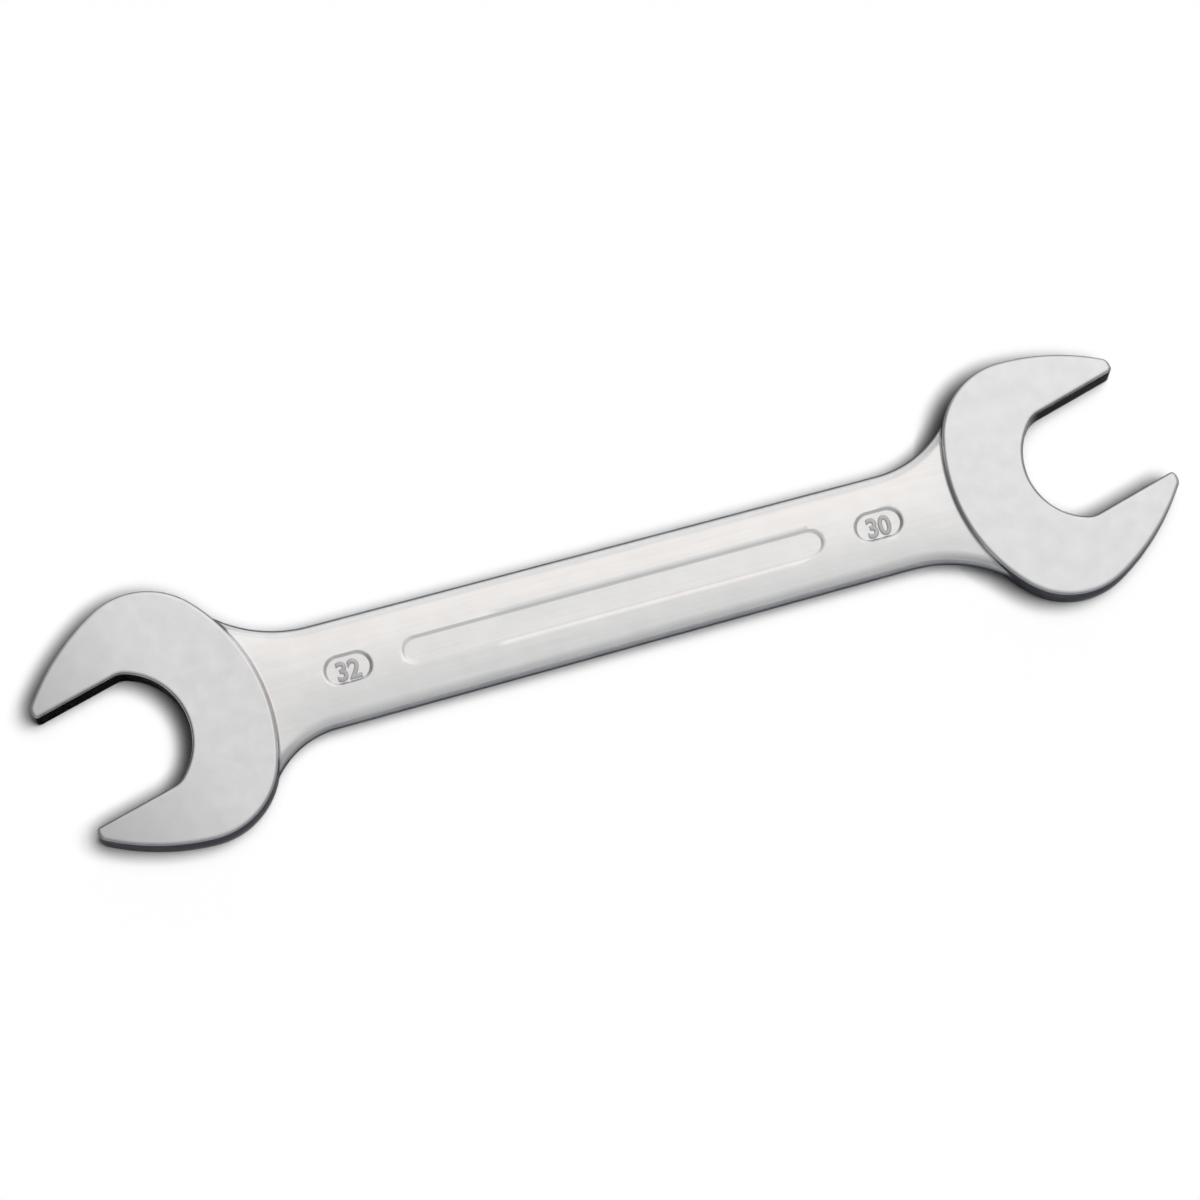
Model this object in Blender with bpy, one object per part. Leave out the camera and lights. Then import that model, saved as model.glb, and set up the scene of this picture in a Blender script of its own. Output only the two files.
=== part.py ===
"""Double open end wrench for 32 mm and 30 mm hexagons, drop forged in one piece and plated.

Both jaws are turned the same way to the shank. Metres, +Z up. The wrench lies on the undersides
of its heads, +X runs along the shank towards the 30 mm head, and the origin is on the ground
under the middle of the wrench's box.
"""
import math
from collections import namedtuple

import bmesh
import bpy
from mathutils import Vector

MM = 0.001

# Jaws: openings across the flats, what a nut needs to slide in, and their turn to the shank.
JAW_32 = 32.0 * MM
JAW_30 = 30.0 * MM
JAW_CLEARANCE = 0.2 * MM
JAW_ANGLE_32 = math.radians(14.0)
JAW_ANGLE_30 = math.radians(14.9)

# Heads: steel beside each flat at the widest place, steel behind the throat, the mouth's depth
# from tip to throat, and the blunt end of a prong.
CHEEK_32 = 17.7 * MM
CHEEK_30 = 17.0 * MM
THROAT_WALL_32 = 20.9 * MM
THROAT_WALL_30 = 19.5 * MM
MOUTH_DEPTH_32 = 34.2 * MM
MOUTH_DEPTH_30 = 33.0 * MM
TIP_WIDTH_32 = 3.0 * MM
TIP_WIDTH_30 = 3.2 * MM
HEAD_THICKNESS = 13.0 * MM
HEAD_EDGE = 0.6 * MM
FORGING_DRAFT = 0.4 * MM

# Where the heads sit: between the points at which the jaw axes cross the shank's middle line,
# and from there to the middle of a nut in the jaw.
HEAD_SPACING = 228.0 * MM
NUT_REACH_32 = 15.7 * MM
NUT_REACH_30 = 14.9 * MM

# Shank: its straight edges carried on to the crossing points, its section, and its flares into
# the heads. The tucked flare is on the side towards which the jaw turns away from the shank.
SHANK_WIDTH_32 = 28.1 * MM
SHANK_WIDTH_30 = 25.5 * MM
SHANK_THICKNESS = 9.0 * MM
SHANK_CROWN = 0.9 * MM
SIDE_HEIGHT = 4.4 * MM
SIDE_DRAFT = 0.35 * MM
CHAMFER_WIDTH = 2.2 * MM
OPEN_FLARE_RADIUS = 36.0 * MM
TUCKED_FLARE_RADIUS = 23.0 * MM
STEP_FILLET = 1.2 * MM
ROOT_DEPTH = 3.0 * MM

# Sunken panel along the shank, and a sunken oval for the size near each head. Both faces have them.
PANEL_LENGTH = 110.8 * MM
PANEL_WIDTH = 6.8 * MM
PANEL_PLACE = 1.3 * MM
OVAL_LENGTH = 13.0 * MM
OVAL_WIDTH = 8.0 * MM
OVAL_GAP_32 = 7.8 * MM
OVAL_GAP_30 = 8.9 * MM
RECESS_DEPTH = 0.45 * MM

# The outline's arcs, as shares of half the head's width, and the throat's, of half the opening.
CORNER_RADIUS_SHARE = 0.615
BACK_RADIUS_SHARE = 1.40
FRONT_RADIUS_SHARE = 1.84
THROAT_RADIUS_SHARE = 1.11
TIP_ROUND_SHARE = 0.42

# Steps along each kind of arc.
THROAT_STEPS = 24
TIP_STEPS = 3
FRONT_STEPS = 8
CORNER_STEPS = 12
BACK_STEPS = 8
INNER_COLUMNS = 9
BLEND_ROWS = 8
STRAIGHT_ROWS = 6
RECESS_STEPS = 12

# Rows of the shank beside a head, as shares of the step's fillet; the first lies in the head.
FILLET_ROW_SHARES = (-0.12, 0.06, 0.2, 0.42, 0.7, 1.0)
# Further rows that still follow the head's edge, as shares of its thickness.
FOLLOWING_ROW_SHARES = (0.18, 0.35)

SMOOTH_ANGLE = math.radians(30)
SEARCH_ROUNDS = 60

# Lines along a shank edge, moved in from its side: the side's middle, its top and the chamfer's top.
EDGE_INSETS = (0, SIDE_DRAFT, CHAMFER_WIDTH)

Arc = namedtuple("Arc", "centre radius start end steps")
Head = namedtuple("Head", "jaw angle cheek throat_wall mouth_depth tip_width nut_reach")
Flare = namedtuple("Flare", "side centre radius line_x touch_travel half_width slope")

HEAD_32 = Head(JAW_32, JAW_ANGLE_32, CHEEK_32, THROAT_WALL_32, MOUTH_DEPTH_32, TIP_WIDTH_32, NUT_REACH_32)
HEAD_30 = Head(JAW_30, JAW_ANGLE_30, CHEEK_30, THROAT_WALL_30, MOUTH_DEPTH_30, TIP_WIDTH_30, NUT_REACH_30)


def polar(centre, radius, angle):
    return centre + Vector((math.cos(angle), math.sin(angle))) * radius


def angle_from(centre, point):
    return math.atan2(point.y - centre.y, point.x - centre.x)


def solve(function, low, high):
    """Place between low, where the function is below zero, and high, where it is above."""
    for _ in range(SEARCH_ROUNDS):
        middle = (low + high) / 2
        if function(middle) < 0:
            low = middle
        else:
            high = middle
    return (low + high) / 2


class HeadShape:
    """Head outline with the nut's middle as origin, u out of the mouth and v across it.

    It is the same on both sides of the u axis, so arcs are worked out for v above zero.
    """

    def __init__(self, head):
        self.head = head
        self.half_gap = (head.jaw + JAW_CLEARANCE) / 2
        half_width = self.half_gap + head.cheek
        self.throat_radius = self.half_gap * THROAT_RADIUS_SHARE
        self.tip = head.mouth_depth - self.throat_radius
        self.tip_round = head.tip_width * TIP_ROUND_SHARE
        back_radius = half_width * BACK_RADIUS_SHARE
        corner_radius = half_width * CORNER_RADIUS_SHARE
        front_radius = half_width * FRONT_RADIUS_SHARE
        back = Vector((back_radius - self.throat_radius - head.throat_wall, 0))
        corner_v = half_width - corner_radius
        corner_back = math.sqrt((back_radius - corner_radius) ** 2 - corner_v ** 2)
        corner = Vector((back.x - corner_back, corner_v))
        tip_point = Vector((self.tip, self.half_gap + head.tip_width))
        front = self.front_centre(corner, front_radius - corner_radius, tip_point, front_radius)
        meets_back = angle_from(back, corner)
        meets_front = angle_from(front, corner)
        round_v = front.y + math.sqrt((front_radius - self.tip_round) ** 2
                                      - (self.tip - self.tip_round - front.x) ** 2)
        self.outer_round = Vector((self.tip - self.tip_round, round_v))
        leaves_tip = angle_from(front, self.outer_round)
        self.outer_arcs = (
            Arc(back, back_radius, math.pi, meets_back, BACK_STEPS),
            Arc(corner, corner_radius, meets_back, meets_front, CORNER_STEPS),
            Arc(front, front_radius, meets_front, leaves_tip, FRONT_STEPS),
        )

    @staticmethod
    def front_centre(corner, from_corner, tip_point, from_tip):
        """Centre of the arc that runs on from the corner arc and reaches the tip's outer point."""
        between = tip_point - corner
        along = (from_corner ** 2 - from_tip ** 2 + between.length_squared) / (2 * between.length)
        across = math.sqrt(from_corner ** 2 - along ** 2)
        direction = between.normalized()
        return corner + direction * along + Vector((direction.y, -direction.x)) * across

    def half_outline(self, inset):
        """Points from the throat round the prong to the back, each with its normal and draft."""
        points = []
        throat = self.throat_radius + inset
        flat = self.half_gap + inset
        corner_angle = math.pi - math.asin(flat / throat)
        for step in range(THROAT_STEPS // 2 + 1):
            angle = math.pi + (corner_angle - math.pi) * step / (THROAT_STEPS // 2)
            points.append((polar(Vector((0, 0)), throat, angle), Vector((0, 0)), 0))
        inner_round = Vector((self.tip - self.tip_round, self.half_gap + self.tip_round))
        leaves_tip = self.outer_arcs[-1].end
        rounds = ((inner_round, -math.pi / 2, 0), (self.outer_round, 0, leaves_tip))
        for centre, start, end in rounds:
            for step in range(TIP_STEPS + 1):
                angle = start + (end - start) * step / TIP_STEPS
                points.append((polar(centre, self.tip_round - inset, angle), Vector((0, 0)), 0))
        for arc in reversed(self.outer_arcs):
            for step in range(1, arc.steps + 1):
                share = step / arc.steps
                angle = arc.end + (arc.start - arc.end) * share
                normal = polar(Vector((0, 0)), 1, angle)
                draft = share if arc is self.outer_arcs[-1] else 1
                points.append((polar(arc.centre, arc.radius - inset, angle), normal, draft))
        return points

    def ring(self, inset, outset):
        """The whole outline once round, moved in by inset and, where it is forged, out by outset."""
        half = [point + normal * (outset * draft) for point, normal, draft in self.half_outline(inset)]
        mirrored = [Vector((point.x, -point.y)) for point in half]
        return half + mirrored[-2:0:-1]

    def edge_point(self, travel, offset):
        """Point at offset outside the outer edge, after travel along it from the middle of the back."""
        side = -1 if travel < 0 else 1
        left = abs(travel)
        for arc in self.outer_arcs:
            length = arc.radius * (arc.start - arc.end)
            if left <= length or arc is self.outer_arcs[-1]:
                point = polar(arc.centre, arc.radius + offset, arc.start - left / arc.radius)
                return Vector((point.x, side * point.y))
            left -= length

    def nearest_edge(self, point):
        """Travel along the outer edge to the place nearest to a point, and its distance."""
        side = -1 if point.y < 0 else 1
        mirrored = Vector((point.x, abs(point.y)))
        travel = 0
        for arc in self.outer_arcs:
            angle = angle_from(arc.centre, mirrored)
            if angle >= arc.end or arc is self.outer_arcs[-1]:
                travel += arc.radius * (arc.start - angle)
                return side * travel, (mirrored - arc.centre).length - arc.radius
            travel += arc.radius * (arc.start - arc.end)


class ShankEnd:
    """One end of the shank, seen with its head's crossing point as origin and the shank along +x."""

    def __init__(self, head, width_here, width_there):
        self.shape = HeadShape(head)
        turn = math.pi + head.angle
        self.out = Vector((math.cos(turn), math.sin(turn)))
        self.across = Vector((-self.out.y, self.out.x))
        self.nut = self.out * head.nut_reach
        slope = (width_there - width_here) / 2 / HEAD_SPACING
        self.open_flare = self.flare(1, OPEN_FLARE_RADIUS, width_here / 2, slope)
        self.tucked_flare = self.flare(-1, TUCKED_FLARE_RADIUS, width_here / 2, slope)

    def to_plan(self, point):
        return self.nut + self.out * point.x + self.across * point.y

    def to_head(self, point):
        offset = point - self.nut
        return Vector((offset.dot(self.out), offset.dot(self.across)))

    def flare(self, side, radius, half_width, slope):
        """The arc that leaves a straight edge of the shank and ends along the head's outer edge."""
        normal = Vector((-slope, side)).normalized()

        def centre_at(x):
            return Vector((x, side * (half_width + slope * x))) + normal * radius

        def clearance(x):
            return self.shape.nearest_edge(self.to_head(centre_at(x)))[1] - radius

        line_x = solve(clearance, 0, HEAD_SPACING / 2)
        centre = centre_at(line_x)
        touch_travel = self.shape.nearest_edge(self.to_head(centre))[0]
        return Flare(side, centre, radius, line_x, touch_travel, half_width, slope)

    def edge_y(self, flare, x, inset):
        """Height in plan of a shank edge at x, moved in by inset."""
        radius = flare.radius + inset
        if x >= flare.line_x:
            return flare.side * (flare.half_width + flare.slope * x - inset)
        return flare.centre.y - flare.side * math.sqrt(radius ** 2 - (x - flare.centre.x) ** 2)

    def travel_at(self, flare, offset, inset):
        """Where the head's edge, moved out by offset, meets the flare moved in by inset."""
        middle = (self.open_flare.touch_travel + self.tucked_flare.touch_travel) / 2
        if -offset - inset >= 0:
            return flare.touch_travel

        def beyond(share):
            travel = flare.touch_travel + (middle - flare.touch_travel) * share
            point = self.to_plan(self.shape.edge_point(travel, offset))
            return (point - flare.centre).length - flare.radius - inset

        return flare.touch_travel + (middle - flare.touch_travel) * solve(beyond, 0, 1)

    def following_row(self, offset):
        """Plan points of a row that follows the head's edge at an offset, from one flare to the other."""
        travels = [self.travel_at(self.open_flare, offset, inset) for inset in EDGE_INSETS]
        end_travels = [self.travel_at(self.tucked_flare, offset, inset) for inset in reversed(EDGE_INSETS)]
        first, last = travels[-1], end_travels[0]
        for column in range(1, INNER_COLUMNS + 1):
            travels.append(first + (last - first) * column / (INNER_COLUMNS + 1))
        travels += end_travels
        return [self.to_plan(self.shape.edge_point(travel, offset)) for travel in travels]

    def blended_row(self, start_row, straight_x, share):
        """Plan points between a row that follows the head and one square to the shank, share of the way."""
        row, end = [], []
        for place, inset in enumerate(EDGE_INSETS):
            near_x, far_x = start_row[place].x, start_row[-1 - place].x
            open_x = near_x + (straight_x - near_x) * share
            tucked_x = far_x + (straight_x - far_x) * share
            row.append(Vector((open_x, self.edge_y(self.open_flare, open_x, inset))))
            end.append(Vector((tucked_x, self.edge_y(self.tucked_flare, tucked_x, inset))))
        first, last = row[-1], end[-1]
        edge = len(EDGE_INSETS)
        inner_start, inner_end = start_row[edge - 1], start_row[-edge]
        fade = (1 - share) ** 2
        for column in range(1, INNER_COLUMNS + 1):
            across = column / (INNER_COLUMNS + 1)
            bow = start_row[edge - 1 + column] - inner_start.lerp(inner_end, across)
            row.append(first.lerp(last, across) + bow * fade)
        return row + end[::-1]

    def rows(self):
        """Rows from inside the head to the straight shank, each with its offset from the head's edge."""
        rows = []
        first = self.following_row(STEP_FILLET * FILLET_ROW_SHARES[0])
        root = [self.to_plan(self.shape.edge_point(flare.touch_travel, -ROOT_DEPTH))
                for flare in (self.open_flare, self.tucked_flare)]
        width = (first[-1] - first[0]).length
        shares = [(point - first[0]).length / width for point in first]
        rows.append(([root[0].lerp(root[1], share) for share in shares], 0))
        for share in FILLET_ROW_SHARES:
            rows.append((self.following_row(STEP_FILLET * share), STEP_FILLET * max(share, 0)))
        for share in FOLLOWING_ROW_SHARES:
            rows.append((self.following_row(STEP_FILLET + HEAD_THICKNESS * share), STEP_FILLET))
        start_row = rows[-1][0]
        straight_x = max(self.open_flare.line_x, self.tucked_flare.line_x) + CHAMFER_WIDTH
        for step in range(1, BLEND_ROWS + 1):
            rows.append((self.blended_row(start_row, straight_x, step / BLEND_ROWS), STEP_FILLET))
        return rows


def section_loop(row, offset):
    """Closed loop of the shank's section over a row of plan points."""
    rise = STEP_FILLET - math.sqrt(STEP_FILLET ** 2 - (STEP_FILLET - offset) ** 2)
    width = (row[-1] - row[0]).length
    heights = []
    for place, point in enumerate(row):
        from_edge = min(place, len(row) - 1 - place)
        across = (point - row[0]).length / width
        if from_edge == 0:
            heights.append(0)
        elif from_edge == 1:
            heights.append(SIDE_HEIGHT / 2 + rise)
        else:
            heights.append(SHANK_THICKNESS / 2 - SHANK_CROWN * (2 * across - 1) ** 2 + rise)
    top = [Vector((point.x, point.y, height)) for point, height in zip(row, heights)]
    underside = [Vector((point.x, point.y, -point.z)) for point in top[-2:0:-1]]
    return top + underside


def loft(name, loops, material):
    """Closed solid through loops of as many points each, with its first and last loop filled."""
    bm = bmesh.new()
    rings = [[bm.verts.new(point) for point in loop] for loop in loops]
    for ring, following in zip(rings, rings[1:]):
        for place in range(len(ring)):
            after = (place + 1) % len(ring)
            bm.faces.new((ring[place], ring[after], following[after], following[place]))
    bm.faces.new(rings[0])
    bm.faces.new(rings[-1])
    bmesh.ops.recalc_face_normals(bm, faces=bm.faces)
    mesh = bpy.data.meshes.new(name)
    bm.to_mesh(mesh)
    bm.free()
    mesh.materials.append(material)
    return bpy.data.objects.new(name, mesh)


def head_solid(name, end, place, material):
    """Head with its mouth: straight jaw flats, drafted outer sides and slightly rounded edges."""
    half = HEAD_THICKNESS / 2
    levels = (
        (half, HEAD_EDGE),
        (half - HEAD_EDGE * (1 - math.sqrt(0.5)), HEAD_EDGE * (1 - math.sqrt(0.5))),
        (half - HEAD_EDGE, 0),
    )
    levels = levels + ((0, 0),) + tuple((-height, inset) for height, inset in reversed(levels))
    loops = []
    for height, inset in levels:
        outset = FORGING_DRAFT * (1 - abs(height) / half)
        ring = [place(end.to_plan(point)) for point in end.shape.ring(inset, outset)]
        loops.append([Vector((point.x, point.y, height)) for point in ring])
    return loft(name, loops, material)


def shank_solid(name, end_32, end_30, material):
    """Shank lofted from inside one head to inside the other."""
    left = [([place_32(point) for point in row], offset) for row, offset in end_32.rows()]
    right = [([place_30(point) for point in reversed(row)], offset) for row, offset in end_30.rows()]
    middle = []
    near, far = left[-1][0], right[-1][0]
    for step in range(1, STRAIGHT_ROWS):
        share = step / STRAIGHT_ROWS
        middle.append(([a.lerp(b, share) for a, b in zip(near, far)], STEP_FILLET))
    rows = left + middle + right[::-1]
    return loft(name, [section_loop(row, offset) for row, offset in rows], material)


def place_32(point):
    return Vector((point.x - HEAD_SPACING / 2, point.y))


def place_30(point):
    return Vector((HEAD_SPACING / 2 - point.x, -point.y))


def cutter(name, outline, side, collection):
    """Closed prism over a flat outline, from the recess's floor to clear of the shank's face."""
    curve = bpy.data.curves.new(name, "CURVE")
    curve.dimensions = "2D"
    curve.fill_mode = "BOTH"
    curve.extrude = RECESS_DEPTH
    spline = curve.splines.new("POLY")
    spline.points.add(len(outline) - 1)
    for point, place in zip(spline.points, outline):
        point.co = (place.x, place.y, 0, 1)
    spline.use_cyclic_u = True
    drawn = bpy.data.objects.new(name, curve)
    collection.objects.link(drawn)
    drawn.location.z = side * SHANK_THICKNESS / 2
    bpy.context.view_layer.update()
    depsgraph = bpy.context.evaluated_depsgraph_get()
    mesh = bpy.data.meshes.new_from_object(drawn.evaluated_get(depsgraph))
    bm = bmesh.new()
    bm.from_mesh(mesh)
    bmesh.ops.remove_doubles(bm, verts=bm.verts, dist=0.01 * MM)
    bmesh.ops.recalc_face_normals(bm, faces=bm.faces)
    bm.to_mesh(mesh)
    bm.free()
    solid = bpy.data.objects.new(name, mesh)
    solid.matrix_world = drawn.matrix_world
    bpy.data.objects.remove(drawn)
    bpy.data.curves.remove(curve)
    solid.hide_render = True
    solid.display_type = "WIRE"
    collection.objects.link(solid)
    return solid


def panel_outline():
    """Long panel with round ends, a little nearer to the 30 mm head."""
    radius = PANEL_WIDTH / 2
    reach = PANEL_LENGTH / 2 - radius
    points = []
    for end, start in ((1, -math.pi / 2), (-1, math.pi / 2)):
        centre = Vector((PANEL_PLACE + end * reach, 0))
        for step in range(RECESS_STEPS + 1):
            points.append(polar(centre, radius, start + math.pi * step / RECESS_STEPS))
    return points


def oval_outline(end, gap):
    """Oval beyond one end of the panel: 1 towards the 30 mm head, -1 towards the 32 mm head."""
    centre = PANEL_PLACE + end * (PANEL_LENGTH / 2 + gap + OVAL_LENGTH / 2)
    points = []
    for step in range(2 * RECESS_STEPS):
        angle = math.pi * step / RECESS_STEPS
        x = centre + OVAL_LENGTH / 2 * math.cos(angle)
        points.append(Vector((x, OVAL_WIDTH / 2 * math.sin(angle))))
    return points


def plated_steel():
    """Matt chrome plating on steel."""
    material = bpy.data.materials.new("chrome_plated_steel")
    material.use_nodes = True
    shader = material.node_tree.nodes["Principled BSDF"]
    shader.inputs["Base Color"].default_value = (0.72, 0.72, 0.73, 1)
    shader.inputs["Metallic"].default_value = 1
    shader.inputs["Roughness"].default_value = 0.32
    return material


def combine(body, tool, operation):
    modifier = body.modifiers.new(tool.name, "BOOLEAN")
    modifier.operation = operation
    modifier.object = tool
    modifier.solver = "EXACT"


def settle(body, frame):
    """Turn the modifiers into the mesh, shade it, and set the origin under the middle of the box."""
    bpy.context.view_layer.update()
    depsgraph = bpy.context.evaluated_depsgraph_get()
    mesh = bpy.data.meshes.new_from_object(body.evaluated_get(depsgraph))
    body.modifiers.clear()
    body.data = mesh
    mesh.shade_smooth()
    mesh.set_sharp_from_angle(angle=SMOOTH_ANGLE)
    xs = [vertex.co.x for vertex in mesh.vertices]
    ys = [vertex.co.y for vertex in mesh.vertices]
    zs = [vertex.co.z for vertex in mesh.vertices]
    frame.location = (-(min(xs) + max(xs)) / 2, -(min(ys) + max(ys)) / 2, -min(zs))
    bpy.context.view_layer.update()


def build():
    for old in list(bpy.data.objects):
        bpy.data.objects.remove(old)
    parts = bpy.data.collections.new("open_end_wrench")
    tools = bpy.data.collections.new("cutters")
    for collection in (parts, tools):
        bpy.context.scene.collection.children.link(collection)
    frame = bpy.data.objects.new("wrench_frame", None)
    parts.objects.link(frame)

    steel = plated_steel()
    end_32 = ShankEnd(HEAD_32, SHANK_WIDTH_32, SHANK_WIDTH_30)
    end_30 = ShankEnd(HEAD_30, SHANK_WIDTH_30, SHANK_WIDTH_32)
    body = shank_solid("wrench_body", end_32, end_30, steel)
    parts.objects.link(body)
    heads = (
        head_solid("head_32_forging", end_32, place_32, steel),
        head_solid("head_30_forging", end_30, place_30, steel),
    )
    for head in heads:
        tools.objects.link(head)
        head.hide_render = True
        head.display_type = "WIRE"
        combine(body, head, "UNION")
    cutters = []
    for side in (1, -1):
        face = "upper" if side > 0 else "under"
        cutters.append(cutter("panel_" + face, panel_outline(), side, tools))
        cutters.append(cutter("oval_32_" + face, oval_outline(-1, OVAL_GAP_32), side, tools))
        cutters.append(cutter("oval_30_" + face, oval_outline(1, OVAL_GAP_30), side, tools))
    for tool in cutters:
        combine(body, tool, "DIFFERENCE")
    for solid in (body, *heads, *cutters):
        solid.parent = frame
    settle(body, frame)


build()
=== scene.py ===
import math
from collections import namedtuple

import bmesh
import bpy
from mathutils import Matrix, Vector


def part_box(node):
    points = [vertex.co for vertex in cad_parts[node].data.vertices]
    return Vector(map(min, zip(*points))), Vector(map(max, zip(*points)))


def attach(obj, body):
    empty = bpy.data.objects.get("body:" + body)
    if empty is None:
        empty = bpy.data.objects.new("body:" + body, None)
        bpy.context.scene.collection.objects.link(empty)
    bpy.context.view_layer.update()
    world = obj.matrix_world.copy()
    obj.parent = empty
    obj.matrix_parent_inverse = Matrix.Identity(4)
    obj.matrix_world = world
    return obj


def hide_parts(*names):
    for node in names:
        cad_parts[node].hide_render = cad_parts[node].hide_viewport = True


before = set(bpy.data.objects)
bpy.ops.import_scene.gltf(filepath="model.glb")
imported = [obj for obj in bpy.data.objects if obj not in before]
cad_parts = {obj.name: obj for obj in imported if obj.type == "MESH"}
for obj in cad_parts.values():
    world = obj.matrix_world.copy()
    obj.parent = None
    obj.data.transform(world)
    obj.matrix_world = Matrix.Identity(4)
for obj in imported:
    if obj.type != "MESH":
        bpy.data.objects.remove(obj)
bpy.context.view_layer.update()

# Heads: the broad ends of one drop forging in chrome vanadium steel, with the jaws ground out of
# them. A head's edge is one section with rounded corners, swept round the outline by turning it
# about the centre of each arc in turn, the way the die was cut.
MM = 0.001
HEAD_THICKNESS = 13.0 * MM
HEAD_EDGE = 1.0 * MM
HEAD_EDGE_STEPS = 6
FORGING_DRAFT = 0.38 * MM
WALL_STEPS = 3
JAW_CLEARANCE = 0.2 * MM
JAW_CORNER_RADIUS = 6.0 * MM

# The outline's arcs, as shares of half the head's width, and the throat's, of half the opening.
CORNER_RADIUS_SHARE = 0.615
BACK_RADIUS_SHARE = 1.40
FRONT_RADIUS_SHARE = 1.84
THROAT_RADIUS_SHARE = 1.11
# The tips' rounds, towards the nut and on the outside, as shares of the tip's width. Both rounds
# are larger than the head's edge, which runs round them.
TIP_INNER_SHARE = 0.4
TIP_OUTER_SHARE = 0.8

THROAT_STEPS = 20
JAW_CORNER_STEPS = 8
TIP_STEPS = 12
FRONT_STEPS = 28
CORNER_STEPS = 36
BACK_STEPS = 28

# Between the points at which the jaws' axes cross the shank's middle line.
HEAD_SPACING = 228.0 * MM
# Points closer than this are one point.
WELD = 0.001 * MM

# Arcs are centred and turned about the upright axis; a run is a straight stretch of the outline.
Arc = namedtuple("Arc", "centre radius start end steps")
Run = namedtuple("Run", "start end")
# The cheek is the steel beside the nut, the throat wall is the steel behind it, and the nut's reach
# is from the crossing point to its middle.
Head = namedtuple("Head", "jaw angle cheek throat_wall mouth_depth tip_width nut_reach")
HEAD_32 = Head(jaw=32.0 * MM, angle=math.radians(14.0), cheek=17.7 * MM, throat_wall=20.9 * MM,
               mouth_depth=34.2 * MM, tip_width=3.0 * MM, nut_reach=15.7 * MM)
HEAD_30 = Head(jaw=30.0 * MM, angle=math.radians(14.9), cheek=17.0 * MM, throat_wall=19.5 * MM,
               mouth_depth=33.0 * MM, tip_width=3.2 * MM, nut_reach=14.9 * MM)
# Each head with the turn of its jaw's axis from +X and where that axis crosses the middle line.
PLACED_HEADS = (("head_32", HEAD_32, math.pi + HEAD_32.angle, -HEAD_SPACING / 2),
                ("head_30", HEAD_30, HEAD_30.angle, HEAD_SPACING / 2))


def polar(centre, radius, angle):
    return centre + Vector((math.cos(angle), math.sin(angle))) * radius


def angle_from(centre, point):
    return math.atan2(point.y - centre.y, point.x - centre.x)


class HeadShape:
    """Half of a head's outline, with the nut's middle as origin, u out of the mouth and v across it."""

    def __init__(self, head):
        half_gap = (head.jaw + JAW_CLEARANCE) / 2
        half_width = half_gap + head.cheek
        throat_radius = half_gap * THROAT_RADIUS_SHARE
        self.tip = head.mouth_depth - throat_radius
        inner = head.tip_width * TIP_INNER_SHARE
        outer = head.tip_width * TIP_OUTER_SHARE
        back_radius = half_width * BACK_RADIUS_SHARE
        corner_radius = half_width * CORNER_RADIUS_SHARE
        front_radius = half_width * FRONT_RADIUS_SHARE
        back = Vector((back_radius - throat_radius - head.throat_wall, 0))
        corner_v = half_width - corner_radius
        corner = Vector((back.x - math.sqrt((back_radius - corner_radius) ** 2 - corner_v ** 2), corner_v))
        tip_point = Vector((self.tip, half_gap + head.tip_width))
        front = self.front_centre(corner, front_radius - corner_radius, tip_point, front_radius)
        meets_back = angle_from(back, corner)
        meets_front = angle_from(front, corner)
        outer_u = self.tip - outer
        outer_v = front.y + math.sqrt((front_radius - outer) ** 2 - (outer_u - front.x) ** 2)
        outer_round = Vector((outer_u, outer_v))
        inner_round = Vector((self.tip - inner, half_gap + inner))
        leaves_tip = angle_from(front, outer_round)
        self.forged = (
            Arc(back, back_radius, math.pi, meets_back, BACK_STEPS),
            Arc(corner, corner_radius, meets_back, meets_front, CORNER_STEPS),
            Arc(front, front_radius, meets_front, leaves_tip, FRONT_STEPS),
        )
        self.front_start = polar(front, front_radius, meets_front).x
        jaw_corner = Vector((-math.sqrt((throat_radius - JAW_CORNER_RADIUS) ** 2
                                        - (half_gap - JAW_CORNER_RADIUS) ** 2), half_gap - JAW_CORNER_RADIUS))
        leaves_throat = angle_from(Vector((0, 0)), jaw_corner)
        self.ground = (
            Arc(Vector((0, 0)), throat_radius, math.pi, leaves_throat, THROAT_STEPS),
            Arc(jaw_corner, JAW_CORNER_RADIUS, leaves_throat, math.pi / 2, JAW_CORNER_STEPS),
            Run(Vector((jaw_corner.x, half_gap)), Vector((inner_round.x, half_gap))),
            Arc(inner_round, inner, -math.pi / 2, 0, TIP_STEPS),
            Run(Vector((self.tip, inner_round.y)), Vector((self.tip, outer_v))),
            Arc(outer_round, outer, 0, leaves_tip, TIP_STEPS),
        )
        self.throat_radius = throat_radius

    @staticmethod
    def front_centre(corner, from_corner, tip_point, from_tip):
        """Centre of the arc that runs on from the corner arc and reaches the tip's outer point."""
        between = tip_point - corner
        along = (from_corner ** 2 - from_tip ** 2 + between.length_squared) / (2 * between.length)
        across = math.sqrt(from_corner ** 2 - along ** 2)
        direction = between.normalized()
        return corner + direction * along + Vector((direction.y, -direction.x)) * across

    def edge_point(self, travel, offset):
        """Point at offset outside the forged edge, after travel along it from the middle of the back."""
        side = -1 if travel < 0 else 1
        left = abs(travel)
        for arc in self.forged:
            length = arc.radius * (arc.start - arc.end)
            if left <= length or arc is self.forged[-1]:
                point = polar(arc.centre, arc.radius + offset, arc.start - left / arc.radius)
                return Vector((point.x, side * point.y))
            left -= length

    def nearest_edge(self, point):
        """Travel along the forged edge to the place nearest to a point, and its distance."""
        side = -1 if point.y < 0 else 1
        mirrored = Vector((point.x, abs(point.y)))
        travel = 0
        for arc in self.forged:
            angle = angle_from(arc.centre, mirrored)
            if angle >= arc.end or arc is self.forged[-1]:
                travel += arc.radius * (arc.start - angle)
                return side * travel, (mirrored - arc.centre).length - arc.radius
            travel += arc.radius * (arc.start - arc.end)


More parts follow.
